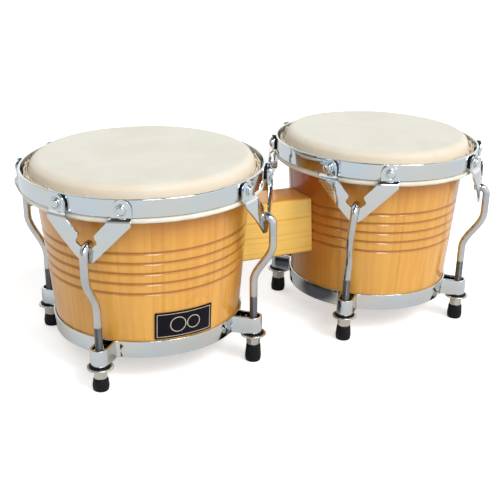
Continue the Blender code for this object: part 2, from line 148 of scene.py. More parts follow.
# Lamps, and round patches on the walls: bearing, height and width in degrees, and strength. A patch has its
# full strength over PATCH_CORE of its width.
KEY_LAMP = (-72.0, 48.0, 22.0, 1.55)
SIDE_LAMP = (-104.0, 35.0, 16.0, 0.62)
WINDOW = (133.0, 58.0, 30.0, 0.85)
DARK_WALL = (-175.0, 10.0, 80.0, 0.62)
PATCH_CORE = 0.6
WALL_SHADE = (0.05, 0.05, 0.05)
WORLD_STRENGTH = 1.245
WALL_TOP = 0.46
CEILING_EDGE = 0.80
CEILING = (0.05, 0.055, 0.065)

# The floor, and its painted shadow between the drums, a darker round patch which only reflections show.
FLOOR_RADIUS = 14.0
FLOOR_TONES = ((0.81, 0.81, 0.81), (0.83, 0.83, 0.83))
FLOOR_FILL = 0.50
FLOOR_SHADOW_ASIDE = 0.03
FLOOR_SHADOW_RADII = (0.045, 0.095)
FLOOR_SHADOW_COLOUR = (0.10, 0.10, 0.11)


# ---- measuring the frame ----


class Span:
    """How far a CAD node reaches in its drum's frame: its radii and heights."""

    def __init__(self, points):
        self.radii = [math.hypot(point.x, point.y) for point in points]
        self.heights = [point.z for point in points]
        self.inner = min(self.radii)
        self.outer = max(self.radii)
        self.base = min(self.heights)
        self.top = max(self.heights)
        self.widest = self.heights[self.radii.index(self.outer)]

    def outer_at(self, height):
        return max(r for r, z in zip(self.radii, self.heights) if abs(z - height) < NEAR)

    def inner_at(self, height):
        return min(r for r, z in zip(self.radii, self.heights) if abs(z - height) < NEAR)


class Drum:
    """A drum's frame, found from the joints of its four nuts, and what its nodes measure in it."""

    def __init__(self, name):
        self.name = name
        self.tension = name + "_tension"
        nuts = [joint for joint in frame["joints"] if joint["child"].startswith(name + "_nut_")]
        up = Vector(nuts[0]["axis"]).normalized()
        middle = sum((Vector(joint["pos_m"]) for joint in nuts), Vector()) / len(nuts)
        side = Vector((0.0, 1.0, 0.0))
        self.matrix = Matrix((side.cross(up), side, up)).transposed().to_4x4()
        self.matrix.translation = middle - up * (middle.z / up.z)
        self.inverse = self.matrix.inverted()
        self.feet = [self.bearing(self.inverse @ Vector(joint["pos_m"])) for joint in nuts]
        self.foot_circle = (self.inverse @ Vector(nuts[0]["pos_m"])).xy.length
        brackets = [self.points(f"{name}_lug_bracket_{number}") for number in LUGS]
        self.lugs = [self.bearing(sum(points, Vector())) for points in brackets]
        self.rim = self.span(name + "_rim")
        self.shell = self.span(name + "_shell")
        self.band = self.span(name + "_bottom_band")

    def points(self, node):
        return [self.inverse @ vertex.co for vertex in frame["nodes"][node].data.vertices]

    def span(self, node):
        return Span(self.points(node))

    @staticmethod
    def bearing(point):
        return math.atan2(point.y, point.x)


# ---- meshes ----


def smooth(share):
    share = min(max(share, 0.0), 1.0)
    return share * share * (3.0 - 2.0 * share)


def rounded(corners, radius, steps=4):
    """A closed outline whose corners are eased into curves that start one radius before them."""
    points = []
    for index, corner in enumerate(corners):
        corner = Vector(corner)
        before = Vector(corners[index - 1]) - corner
        after = Vector(corners[(index + 1) % len(corners)]) - corner
        start = corner + before.normalized() * min(radius, before.length * 0.45)
        end = corner + after.normalized() * min(radius, after.length * 0.45)
        for step in range(steps + 1):
            t = step / steps
            points.append(start * (1 - t) ** 2 + corner * 2 * t * (1 - t) + end * t * t)
    return points


def arc(centre, radius, start, end, steps):
    """Points on an arc in the (radius, height) plane, between two angles in degrees."""
    angles = [math.radians(start + (end - start) * step / steps) for step in range(steps + 1)]
    return [Vector((centre[0] + radius * math.cos(a), centre[1] + radius * math.sin(a))) for a in angles]


def finished_mesh(name, shape, sharp_degrees=SHARP_DEGREES):
    bmesh.ops.recalc_face_normals(shape, faces=shape.faces)
    mesh = bpy.data.meshes.new(name)
    shape.to_mesh(mesh)
    shape.free()
    mesh.shade_smooth()
    mesh.set_sharp_from_angle(angle=math.radians(sharp_degrees))
    return mesh


def turned(name, profile, segments=ROUND, warp=None, sharp_degrees=SHARP_DEGREES):
    """Turns a closed (radius, height) profile about Z. warp(angle, radius, height) may move each point."""
    shape = bmesh.new()
    rings = []
    for step in range(segments):
        angle = 2 * math.pi * step / segments
        ring = []
        for radius, height in profile:
            if warp:
                radius, height = warp(angle, radius, height)
            ring.append(shape.verts.new((radius * math.cos(angle), radius * math.sin(angle), height)))
        rings.append(ring)
    join_rings(shape, rings)
    bmesh.ops.remove_doubles(shape, verts=shape.verts, dist=TINY)
    return finished_mesh(name, shape, sharp_degrees)


def join_rings(shape, rings):
    for first, second in zip(rings, rings[1:] + rings[:1]):
        for index in range(len(first)):
            shape.faces.new((first[index - 1], first[index], second[index], second[index - 1]))


def swept(name, path, radius_at):
    """A round bar along a path. radius_at(index, angle) gives its radius, so that a thread can be cut."""
    shape = bmesh.new()
    rings = []
    side = Vector((0.0, 1.0, 0.0))
    for index, place in enumerate(path):
        ahead = path[min(index + 1, len(path) - 1)] - path[max(index - 1, 0)]
        ahead.normalize()
        side = (side - ahead * side.dot(ahead)).normalized()
        across = ahead.cross(side)
        ring = []
        for step in range(ROD_SIDES):
            angle = 2 * math.pi * step / ROD_SIDES
            out = side * math.cos(angle) + across * math.sin(angle)
            ring.append(shape.verts.new(place + out * radius_at(index, angle)))
        rings.append(ring)
    for first, second in zip(rings, rings[1:]):
        for step in range(ROD_SIDES):
            shape.faces.new((first[step - 1], first[step], second[step], second[step - 1]))
    shape.faces.new(rings[0])
    shape.faces.new(rings[-1])
    return finished_mesh(name, shape)


def applied(mesh, *steps):
    """The mesh after modifiers, each given as (kind, settings)."""
    holder = bpy.data.objects.new("holder", mesh)
    bpy.context.scene.collection.objects.link(holder)
    for kind, settings in steps:
        modifier = holder.modifiers.new(kind, kind)
        for key, value in settings.items():
            setattr(modifier, key, value)
    graph = bpy.context.evaluated_depsgraph_get()
    result = bpy.data.meshes.new_from_object(holder.evaluated_get(graph))
    bpy.data.objects.remove(holder)
    result.shade_smooth()
    result.set_sharp_from_angle(angle=math.radians(SHARP_DEGREES))
    return result


def bevel(width, segments=3):
    return "BEVEL", {"width": width, "segments": segments, "limit_method": "ANGLE", "angle_limit": 1.0}


def solidified(thickness, mesh):
    """A wall of a thickness on the outward side of a sheet that faces along X."""
    outward = sum(face.normal.x for face in mesh.polygons) > 0.0
    return "SOLIDIFY", {"thickness": thickness, "offset": 1.0 if outward else -1.0}


def cut_flat(shape, point, normal):
    everything = list(shape.verts) + list(shape.edges) + list(shape.faces)
    bmesh.ops.bisect_plane(shape, geom=everything, plane_co=point, plane_no=normal, dist=TINY)


PLATE_BEVEL = bevel(0.00035)


def piece(name, mesh, place, look, slot, body, *nodes, turn=None):
    """Puts a mesh, or a turned copy of it, in the scene, hangs it from its CAD body's empty, and hides the
    CAD nodes.
    """
    if turn:
        mesh = mesh.copy()
        mesh.transform(turn)
    made = bpy.data.objects.new(name, mesh)
    made.matrix_world = place
    bpy.context.scene.collection.objects.link(made)
    if not mesh.materials:
        mesh.materials.append(look)
    if body:
        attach(made, body)
    if nodes:
        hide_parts(*nodes)
    return made


# ---- materials ----


class Nodes:
    """A node tree, with short ways to add to it."""

    def __init__(self, tree):
        self.tree = tree

    def node(self, kind, inputs=None, **settings):
        made = self.tree.nodes.new(kind)
        for key, value in settings.items():
            setattr(made, key, value)
        for key, value in (inputs or {}).items():
            self.set(made.inputs[key], value)
        return made

    def set(self, socket, value):
        if isinstance(value, bpy.types.NodeSocket):
            self.tree.links.new(value, socket)
        else:
            socket.default_value = value

    def math(self, operation, *values):
        return self.node("ShaderNodeMath", dict(enumerate(values)), operation=operation).outputs[0]

    def times(self, first, second):
        return self.math("MULTIPLY", first, second)

    def reach(self, x, y):
        return self.math("SQRT", self.math("MULTIPLY_ADD", x, x, self.times(y, y)))

    def place(self):
        """The surface point in the piece's own frame, as a vector and as x, y and z."""
        vector = self.node("ShaderNodeTexCoord").outputs["Object"]
        return vector, self.node("ShaderNodeSeparateXYZ", {0: vector}).outputs

    def vector(self, x, y, z):
        return self.node("ShaderNodeCombineXYZ", {0: x, 1: y, 2: z}).outputs[0]

    def noise(self, vector, scale, detail=4.0, roughness=0.55, distortion=0.0):
        inputs = {"Vector": vector, "Scale": scale, "Detail": detail}
        inputs.update({"Roughness": roughness, "Distortion": distortion})
        return self.node("ShaderNodeTexNoise", inputs).outputs["Fac"]

    def between(self, value, low, high, to_low=0.0, to_high=1.0):
        """Eases from one number to another while the value goes from low to high."""
        inputs = {0: value, 1: low, 2: high, 3: to_low, 4: to_high}
        return self.node("ShaderNodeMapRange", inputs, interpolation_type="SMOOTHSTEP").outputs[0]

    def mix(self, share, first, second):
        inputs = {0: share, 6: colour(first), 7: colour(second)}
        return self.node("ShaderNodeMix", inputs, data_type="RGBA").outputs[2]

    def seen(self):
        """One where the camera itself looks, and zero in reflections and on what the light bounces off."""
        return self.node("ShaderNodeLightPath").outputs["Is Camera Ray"]

    def bump(self, height, strength, distance, below=None):
        inputs = {"Height": height, "Strength": strength, "Distance": distance}
        if below:
            inputs["Normal"] = below
        return self.node("ShaderNodeBump", inputs).outputs[0]


class Look(Nodes):
    """A material's node tree, and its shader."""

    def __init__(self, name):
        self.material = bpy.data.materials.new(name)
        self.material.use_nodes = True
        super().__init__(self.material.node_tree)
        self.shader = self.tree.nodes["Principled BSDF"]

    def shade(self, **inputs):
        for key, value in inputs.items():
            self.set(self.shader.inputs[key.replace("_", " ")], value)


def colour(value):
    return value if isinstance(value, bpy.types.NodeSocket) else (*value, 1.0)


def wood_fibre(look, across, deep, along):
    """Fine fibre and broad figure of a plank whose grain runs along one direction. Both are 0 to 1."""

    def stretched(fine, coarse):
        return look.vector(look.times(across, fine), deep, look.times(along, coarse))

    fibre = look.noise(stretched(900.0, 22.0), 1.0, 5.0)
    figure = look.noise(stretched(95.0, 5.0), 1.0, 3.0, 0.5, 1.2)
    return fibre, figure


def stave_wood(name, inside, shaded_bearing=None):
    """Staves with their own tone and grain: bare inside, and lacquered outside, with brown in the grooves.

    Painted shade makes the wood under the rim a deeper orange. The last argument gives the bearing, in
    degrees, of the side that faces the other drum, whose staves get painted shade and a painted dark
    reflection, the more so towards their tops.
    """
    look = Look(name)
    vector, (x, y, z) = look.place()
    turn = look.math("ARCTAN2", y, x)
    stave_place = look.times(turn, STAVES / (2 * math.pi))
    stave = look.math("FLOOR", stave_place)
    within = look.math("SUBTRACT", stave_place, stave)
    chance = look.node("ShaderNodeTexWhiteNoise", {"W": stave}, noise_dimensions="1D").outputs["Value"]
    across = look.math("MULTIPLY_ADD", within, STAVE_WIDTH, look.times(chance, 3.0))
    fibre, figure = wood_fibre(look, across, look.times(chance, 31.0), z)
    tone = look.mix(look.between(figure, 0.3, 0.72), (0.726, 0.363, 0.067), (0.618, 0.269, 0.035))
    tone = look.mix(look.between(chance, 0.0, 1.0, 0.0, 0.35), tone, (0.785, 0.438, 0.098))
    dark_fibre = look.between(fibre, 0.56, 0.75, 0.0, 0.35)
    tone = look.mix(dark_fibre, tone, (0.420, 0.140, 0.014))
    streak = look.between(look.noise(vector, 38.0, 2.0), 0.62, 0.78, 0.0, 0.60)
    tone = look.mix(look.times(streak, figure), tone, (0.260, 0.070, 0.018))
    # Painted shade under the rim: the wood eases to a deeper orange towards the top.
    shade = look.between(z, 0.118, 0.160, 0.0, 0.50)
    tone = look.mix(shade, tone, (0.400, 0.095, 0.006))
    # Painted shade and a painted dark reflection on the side that faces the other drum, stronger towards the
    # top.
    if shaded_bearing:
        facing = look.math("COSINE", look.math("SUBTRACT", turn, math.radians(shaded_bearing)))
        facing = look.math("MULTIPLY_ADD", look.math("SUBTRACT", chance, 0.5), 0.10, facing)
        dark = look.between(facing, 0.74, 0.97, 0.0, 0.95)
        dark = look.times(dark, look.between(z, 0.03, 0.13, 0.25, 1.0))
        tone = look.mix(dark, tone, (0.385, 0.082, 0.004))
    from_joint = look.math("ABSOLUTE", look.math("SUBTRACT", within, 0.5))
    tone = look.mix(look.between(from_joint, 0.485, 0.499, 0.0, 0.16), tone, (0.200, 0.070, 0.015))
    grain = look.bump(fibre, 0.10, 0.0004)
    if inside:
        look.shade(Base_Color=look.mix(0.35, tone, (0.72, 0.52, 0.30)), Roughness=0.62, Normal=grain)
        return look.material
    steps = look.math("DIVIDE", look.math("SUBTRACT", GROOVE_TOP, z), GROOVE_PITCH)
    nearest = look.math("MINIMUM", look.math("MAXIMUM", look.math("ROUND", steps), 0.0), GROOVE_COUNT - 1.0)
    away = look.math("ABSOLUTE", look.math("SUBTRACT", steps, nearest))
    groove = look.between(away, 0.02, GROOVE_HALF_WIDTH / GROOVE_PITCH * 1.25, 0.72, 0.0)
    tone = look.mix(groove, tone, (0.330, 0.105, 0.014))
    lacquer = look.bump(look.noise(vector, 55.0, 2.0), 0.05, 0.0008, grain)
    look.shade(Base_Color=tone, Normal=grain, Roughness=0.40, Specular_IOR_Level=0.15)
    look.shade(Coat_Weight=0.85, Coat_Roughness=0.03, Coat_Normal=lacquer)
    return look.material


def plank_wood(name):
    """Pale pine with its grain along X, under satin lacquer."""
    look = Look(name)
    vector, (x, y, z) = look.place()
    bent = look.math("MULTIPLY_ADD", look.noise(vector, 9.0, 1.0), 0.006, z)
    rings = look.math("MULTIPLY_ADD", look.times(y, y), 3.0, bent)
    fibre, figure = wood_fibre(look, rings, look.times(y, 60.0), x)
    late = look.between(look.noise(look.vector(0.0, 0.0, rings), 260.0, 2.0), 0.52, 0.62, 0.0, 0.75)
    tone = look.mix(late, (0.800, 0.490, 0.100), (0.660, 0.330, 0.040))
    tone = look.mix(look.between(figure, 0.35, 0.75, 0.0, 0.5), tone, (0.850, 0.560, 0.150))
    tone = look.mix(look.between(fibre, 0.58, 0.76, 0.0, 0.35), tone, (0.520, 0.280, 0.070))
    # Painted shade: the top face, which lies under the rims, is darkened towards orange-brown.
    tone = look.mix(look.between(z, 0.0258, 0.0278, 0.0, 0.70), tone, (0.700, 0.235, 0.010))
    grain = look.bump(fibre, 0.15, 0.0004)
    look.shade(Base_Color=tone, Normal=grain, Roughness=0.42, Coat_Weight=0.6, Coat_Roughness=0.12)
    look.shade(Specular_IOR_Level=0.2)
    return look.material


def skin(name, edge_radius, middle):
    """Dry natural skin: mottled cream, warmer and stained where it rolls over the bearing edge.

    A head's mesh lies in the pair's frame, and middle is its drum's x there.
    """
    look = Look(name)
    vector, (x, y, z) = look.place()
    x = look.math("SUBTRACT", x, middle)
    mottle = look.noise(vector, 22.0, 5.0, 0.6, 0.6)
    pores = look.noise(vector, 700.0, 3.0)
    combed = look.vector(look.times(x, 60.0), look.times(y, 520.0), z)
    strands = look.noise(combed, 1.0)
    radius = look.reach(x, y)
    ragged = look.math("MULTIPLY_ADD", look.math("SUBTRACT", mottle, 0.5), 0.014, radius)
    tone = look.mix(look.between(mottle, 0.35, 0.7), (0.772, 0.750, 0.645), (0.728, 0.706, 0.596))
    tone = look.mix(look.between(strands, 0.55, 0.8, 0.0, 0.3), tone, (0.830, 0.815, 0.730))
    rolled = look.between(ragged, edge_radius * 0.90, edge_radius * 1.03, 0.0, 0.8)
    tone = look.mix(rolled, tone, (0.790, 0.668, 0.515))
    near_edge = look.between(ragged, edge_radius * 0.78, edge_radius * 0.93)
    stains = look.between(look.noise(vector, 75.0, 4.0, 0.6), 0.60, 0.76, 0.0, 0.35)
    tone = look.mix(look.times(near_edge, stains), tone, (0.640, 0.400, 0.260))
    tone = look.mix(look.between(pores, 0.6, 0.8, 0.0, 0.12), tone, (0.500, 0.400, 0.280))
    bump = look.bump(look.math("ADD", pores, look.times(strands, 0.5)), 0.18, 0.0003)
    look.shade(Base_Color=tone, Normal=bump, Roughness=0.58, Sheen_Weight=0.08)
    return look.material


def lapped_skin(name):
    """Skin pulled round the hoop: paler, with fine pleats across the tube."""
    look = Look(name)
    vector, (x, y, z) = look.place()
    turn = look.math("ARCTAN2", y, x)
    across = look.vector(look.times(turn, 90.0), look.times(z, 150.0), 0.0)
    pleats = look.noise(across, 1.0)
    mottle = look.noise(vector, 60.0, 4.0)
    tone = look.mix(look.between(mottle, 0.35, 0.7), (0.800, 0.790, 0.700), (0.740, 0.700, 0.580))
    tone = look.mix(look.between(pleats, 0.62, 0.8, 0.0, 0.5), tone, (0.450, 0.330, 0.200))
    look.shade(Base_Color=tone, Normal=look.bump(pleats, 0.5, 0.0004), Roughness=0.5)
    return look.material


def plated(name, tint, low, high, ripple):
    """Bright plate: its roughness wanders a little, and its surface is not quite flat."""
    look = Look(name)
    vector, _ = look.place()
    smear = look.noise(vector, 45.0, 5.0, 0.65)
    wave = look.noise(vector, 30.0, 2.0)
    rough = look.between(smear, 0.35, 0.75, low, high)
    red, green, blue = tint
    cool, warm = (red * 0.94, green, blue * 1.05), (red * 1.03, green, blue * 0.93)
    tone = look.mix(look.between(look.noise(vector, 26.0, 3.0), 0.35, 0.65), cool, warm)
    look.shade(Base_Color=tone, Metallic=1.0, Roughness=rough, Normal=look.bump(wave, ripple, 0.0006))
    return look.material


def rod_steel(name):
    """Plate over the bend of a rod, and bare grey steel where it is threaded."""
    look = Look(name)
    vector, (_, _, z) = look.place()
    smear = look.noise(vector, 60.0, 5.0, 0.65)
    bare = look.between(z, THREAD_TOP - 0.0012, THREAD_TOP + 0.0008, 1.0, 0.0)
    plate = look.mix(look.between(smear, 0.35, 0.7), (0.520, 0.535, 0.540), (0.600, 0.600, 0.590))
    rough = look.between(smear, 0.35, 0.75, 0.10, 0.20)
    rough = look.math("MAXIMUM", rough, look.times(bare, 0.36))
    look.shade(Base_Color=look.mix(bare, plate, (0.165, 0.175, 0.190)), Metallic=1.0, Roughness=rough)
    look.shade(Normal=look.bump(look.noise(vector, 90.0, 3.0), 0.08, 0.0004))
    return look.material


def rubber(name):
    look = Look(name)
    vector, _ = look.place()
    grit = look.noise(vector, 1400.0, 3.0)
    dust = look.noise(vector, 120.0, 4.0)
    tone = look.mix(look.between(dust, 0.5, 0.8, 0.0, 0.5), (0.0015, 0.0015, 0.0022), (0.006, 0.006, 0.007))
    rough = look.between(dust, 0.3, 0.7, 0.42, 0.58)
    look.shade(Base_Color=tone, Normal=look.bump(grit, 0.25, 0.0002), Roughness=rough)
    look.shade(Specular_IOR_Level=0.25)
    return look.material


def enamel(name, tint, rough):
    look = Look(name)
    vector, _ = look.place()
    specks = look.noise(vector, 900.0, 3.0)
    shade = tuple(channel * 0.7 for channel in tint)
    look.shade(Base_Color=look.mix(look.between(specks, 0.4, 0.7), tint, shade))
    look.shade(Normal=look.bump(specks, 0.1, 0.0001), Roughness=rough, Specular_IOR_Level=0.12)
    return look.material


# ---- the shell and what is fixed to it ----


def groove_depth(height):
    """How deep the turning tool went at this height."""
    steps = (GROOVE_TOP - height) / GROOVE_PITCH
    away = abs(steps - min(max(round(steps), 0), GROOVE_COUNT - 1)) * GROOVE_PITCH
    return GROOVE_DEPTH * (1.0 - smooth(away / GROOVE_HALF_WIDTH))


def add_shell(drum):
    shell = drum.shell
    crown = shell.widest
    base_radius, base_inner = shell.outer_at(shell.base), shell.inner_at(shell.base)
    crown_inner = shell.inner_at(crown)
    easing = shell.top - crown
    profile = arc((shell.outer - easing, crown), easing, 90.0, 0.0, 8)
    low, high = GROOVE_TOP - GROOVE_COUNT * GROOVE_PITCH, GROOVE_TOP + GROOVE_PITCH
    rows = GROOVE_COUNT * GROOVE_ROWS
    for row in range(rows + 1):
        height = high + (low - high) * row / rows
        share = (height - shell.base) / (crown - shell.base)
        radius = base_radius + share * (shell.outer - base_radius) - groove_depth(height)
        profile.append(Vector((radius, height)))
    bottom = [(base_radius, shell.base + 0.01), (base_radius, shell.base), (base_inner, shell.base)]
    profile += rounded(bottom + [(base_inner, shell.base + 0.01)], 0.0012, 3)[4:12]
    profile.append(Vector((crown_inner, crown)))
    mesh = turned(drum.name + "_shell", profile)
    mesh.materials.append(drum.wood)
    mesh.materials.append(RAW_WOOD)
    for face in mesh.polygons:
        inward = face.normal.dot(Vector((face.center.x, face.center.y, 0.0))) < 0.0
        face.material_index = 1 if inward else 0
    name = drum.name + "_shell"
    piece(name + "_wood", mesh, drum.matrix, None, "shell_wood", "drum_pair", name)


def add_skin(drum):
    """The head from its middle, over the bearing edge, and down to the flesh hoop."""
    node = drum.span(drum.name + "_head")
    shell, hoop = drum.shell, drum.span(drum.name + "_flesh_hoop")
    thick = node.top - shell.top - GAP
    edge_radius = node.top - shell.widest
    centre = (shell.outer + GAP + thick - edge_radius, shell.widest)
    rings = 26
    flat = [Vector((centre[0] * ring / rings, node.top)) for ring in range(rings)]
    lap = (hoop.inner - 0.0001, hoop.top - 0.0016)
    outside = flat + arc(centre, edge_radius, 90.0, 17.0, 12)
    outside += [Vector((node.outer, node.base)), Vector(lap)]
    inside = [Vector((r - thick * 0.9, z - 0.0002)) for r, z in outside[-2:][::-1]]
    inside += arc(centre, edge_radius - thick, 17.0, 90.0, 8)
    inside.append(Vector((0.0, node.top - thick)))

    def warp(angle, radius, height):
        spot = Vector((radius * math.cos(angle), radius * math.sin(angle), height)) * 28.0
        dip = 0.00035 * max(0.0, noise.noise(spot) + 0.3)
        if height > centre[1]:
            return radius, height - dip
        pleat = noise.noise(Vector((math.cos(angle) * 24.0, math.sin(angle) * 24.0, 0.0)))
        return radius + 0.00035 * pleat, height

    mesh = turned(drum.name + "_skin", outside + inside, warp=warp)
    made = piece(drum.name + "_skin", mesh, drum.matrix, drum.skin, "skin", None, drum.name + "_head")
    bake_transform(made)


def add_band(drum):
    """The bottom band, a rolled strip that follows the shell's taper, and its four strap ears."""
    band = drum.band
    top_outer = drum.shell.outer_at(drum.shell.base)
    slope = (drum.shell.outer - top_outer) / (drum.shell.widest - drum.shell.base)
    low = band.inner
    high = low + slope * (band.top - band.base)
    outer = [(high + BAND_THICKNESS, band.top), (low + BAND_THICKNESS, band.base)]
    corners = outer + [(low, band.base), (high, band.top)]
    name = drum.name + "_bottom_band"
    ring = turned(name, rounded(corners, 0.0005, 3))
    piece(name + "_strip", ring, drum.matrix, CHROME, "chrome", "drum_pair", name)
    ear = ear_mesh(drum, (low + high) / 2 + BAND_THICKNESS, slope)
    for number, foot in zip(LUGS, drum.feet):
        turn = Matrix.Rotation(foot, 4, "Z")
        piece(f"{drum.name}_band_ear_{number}", ear, drum.matrix, CHROME, "chrome", "drum_pair", turn=turn)


def ear_mesh(drum, band_radius, slope):
    """A strap that leaves the band in an eased fold, rounds the rod and folds back."""
    reach = band_radius - EAR_STRAP / 2 + EAR_FILLET
    fold_y = EAR_HALF_WIDTH + EAR_FILLET
    fold_x = math.sqrt(reach * reach - fold_y * fold_y)
    start = math.degrees(math.atan2(fold_y, fold_x)) + 180.0
    half = arc((fold_x, fold_y), EAR_FILLET, start, 270.0, 8)
    half += arc((drum.foot_circle, 0.0), EAR_HALF_WIDTH, 90.0, 0.0, 10)
    path = half + [Vector((x, -y)) for x, y in half[-2::-1]]
    middle = (drum.band.top + drum.band.base) / 2
    shape = bmesh.new()
    rows = []
    for x, y in path:
        hug = 1.0 - smooth((x - fold_x + EAR_FILLET) / EAR_FILLET)
        row = []
        for height in (drum.band.base, drum.band.top):
            row.append(shape.verts.new((x + slope * hug * (height - middle), y, height)))
        rows.append(row)
    for first, second in zip(rows, rows[1:]):
        shape.faces.new((first[0], first[1], second[1], second[0]))
    strap = ("SOLIDIFY", {"thickness": EAR_STRAP, "offset": 0.0, "use_even_offset": True})
    return applied(finished_mesh("ear", shape), strap, PLATE_BEVEL)


def hexagon(across_flats, chamfer, low, high):
    """A warp that trims a turned shape to a hexagon with chamfered corners."""

    def warp(angle, radius, height):
        if radius < across_flats * 0.4:
            return radius, height
        within = (angle + math.pi / 6) % (math.pi / 3) - math.pi / 6
        flat = across_flats / 2 / math.cos(within)
        from_end = min(height - low, high - height)
        return min(flat, across_flats / 2 + from_end * across_flats * 0.09 / chamfer), height

    return warp


def nut_mesh(across_flats, chamfer, low, high, bore):
    """A hexagon nut, or with no bore a bolt head, between two heights."""
    outer = across_flats * 0.6
    levels = [high, high - chamfer * 0.35, high - chamfer * 0.7, high - chamfer, high - 2 * chamfer]
    levels += [low + high - level for level in levels[::-1]]
    profile = [(outer, level) for level in levels]
    wall = [(bore, low - 0.002), (bore, low), (bore, high), (bore, high + 0.002)]
    profile += rounded(wall, 0.0004, 2)[3:9]
    return turned("nut", profile, 96, hexagon(across_flats, chamfer, low, high), 24.0)


def add_nuts_and_washers(drum):
    washer = drum.span(drum.name + "_washer_1")
    nut = drum.span(drum.name + "_nut_1")
    radius = washer.outer - drum.foot_circle
    split = washer.top - FIBRE_HEIGHT
    steel = rounded([(radius, split), (radius, washer.base), (BORE, washer.base), (BORE, split)], 0.0009, 5)
    inset = radius - FIBRE_INSET
    fibre = rounded([(inset, washer.top), (inset, split), (BORE, split), (BORE, washer.top)], 0.0002, 2)
    steel_mesh = turned("washer", steel, 72)
    fibre_mesh = turned("fibre_washer", fibre, 72)
    flats = 2 * (nut.outer - drum.foot_circle) * math.cos(math.pi / 6)
    hexagon_mesh = nut_mesh(flats, NUT_CHAMFER, nut.base, nut.top, BORE)
    for number, foot in zip(LUGS, drum.feet):
        turn = Matrix.Rotation(foot, 4, "Z") @ Matrix.Translation((drum.foot_circle, 0.0, 0.0))
        label = f"{drum.name}_washer_{number}"
        piece(label + "_steel", steel_mesh, drum.matrix, NICKEL, "chrome", "drum_pair", label, turn=turn)
        piece(label + "_fibre", fibre_mesh, drum.matrix, FIBRE, "rubber", "drum_pair", turn=turn)
        label = f"{drum.name}_nut_{number}"
        piece(label + "_hexagon", hexagon_mesh, drum.matrix, NICKEL, "steel", label, label, turn=turn)


def add_block_fixing(drum):
    """The backing plate and the bolts inside the shell."""
    name = drum.name + "_backing_plate"
    points = drum.points(name)
    low = Vector([min(point[axis] for point in points) for axis in range(3)])
    high = Vector([max(point[axis] for point in points) for axis in range(3)])
    shape = bmesh.new()
    bmesh.ops.create_cube(shape, size=1.0)
    bmesh.ops.scale(shape, vec=high - low, verts=shape.verts)
    plate = applied(finished_mesh("plate", shape), bevel(0.0006))
    place = drum.matrix @ Matrix.Translation((low + high) / 2)
    piece(name + "_steel", plate, place, NICKEL, "steel", "drum_pair", name)
    inward = -1.0 if low.x > 0.0 else 1.0
    across_flats, chamfer, head_height = BOLT_HEAD
    head = nut_mesh(across_flats, chamfer, 0.0, head_height, NO_BORE)
    for number in (1, 2):
        label = f"{drum.name}_block_bolt_{number}"
        bolt = drum.points(label)
        ends = [min(point.x for point in bolt), max(point.x for point in bolt)]
        height = (min(point.z for point in bolt) + max(point.z for point in bolt)) / 2
        head_end = ends[0] if inward < 0.0 else ends[1]
        turn = Matrix.Rotation(math.radians(90.0) * inward, 4, "Y")
        back = Matrix.Translation((head_end - inward * (head_height + 0.0002), 0.0, height))
        piece(label + "_head", head, drum.matrix @ back @ turn, NICKEL, "steel", "drum_pair", label)


# ---- the tension hardware ----


def add_rim(drum):
    rim = drum.rim
    inner = rim.outer - RIM_THICKNESS
    corners = [(rim.outer, rim.top), (rim.outer, rim.base), (inner, rim.base), (inner, rim.top)]
    mesh = turned(drum.name + "_rim", rounded(corners, 0.0009, 5), 3 * ROUND // 2)
    piece(drum.name + "_rim_band", mesh, drum.matrix, CHROME, "chrome", drum.tension, drum.name + "_rim")


def add_hoop(drum):
    """The flesh hoop in its lapping of skin, and the layers of trimmed skin standing up inside the rim."""
    name = drum.name + "_flesh_hoop"
    hoop = drum.span(name)
    radius = (hoop.top - hoop.base) / 2
    centre = (hoop.outer - radius, (hoop.top + hoop.base) / 2)

    def lap(angle, around, height):
        spot = Vector((math.cos(angle) * 30.0, math.sin(angle) * 30.0, height * 300.0))
        shrink = 1.0 - 0.07 * max(0.0, noise.noise(spot) + 0.25)
        return centre[0] + (around - centre[0]) * shrink, centre[1] + (height - centre[1]) * shrink

    tube = turned(name, arc(centre, radius, 0.0, 345.0, 23), 2 * ROUND, lap)
    piece(name + "_lapping", tube, drum.matrix, LAPPED_SKIN, "lapped_skin", drum.tension, name)
    for layer, (lean, drop, seed) in enumerate(FRAYED_LAYERS, 1):
        add_frayed_edge(drum, layer, lean, drop, seed)


def add_frayed_edge(drum, layer, lean, drop, seed):
    """A layer of the skin's trimmed edge, standing up between the head and the rim and frayed at its top."""
    wall = drum.rim.outer - RIM_THICKNESS
    top = drum.rim.top - drop
    foot = drum.rim.base + 0.0004

    def fray(angle, around, height):
        if height < top - 0.0030:
            return around, height
        ring = Vector((math.cos(angle), math.sin(angle), 0.0))
        drift = Vector((0.0, 0.0, seed))
        ragged = noise.noise(ring * 13.0 + drift) * 0.0034 + noise.noise(ring * 37.0 + drift) * 0.0032
        ragged += noise.noise(ring * 110.0 + drift) * 0.0016
        curl = noise.noise(ring * 31.0 + drift) * 0.0012
        return around + curl, height + ragged - 0.0016

    strip = [(wall - 0.0007, foot), (wall - 0.0016, foot), (wall - lean * 0.75 - 0.0009, top - 0.0040)]
    strip += [(wall - lean - 0.0006, top), (wall - lean, top + 0.0002), (wall - lean * 0.75, top - 0.0040)]
    edge = turned(f"{drum.name}_skin_edge_{layer}", strip, 5 * ROUND, fray)
    piece(edge.name, edge, drum.matrix, FRAYED_SKIN, "lapped_skin", drum.tension)


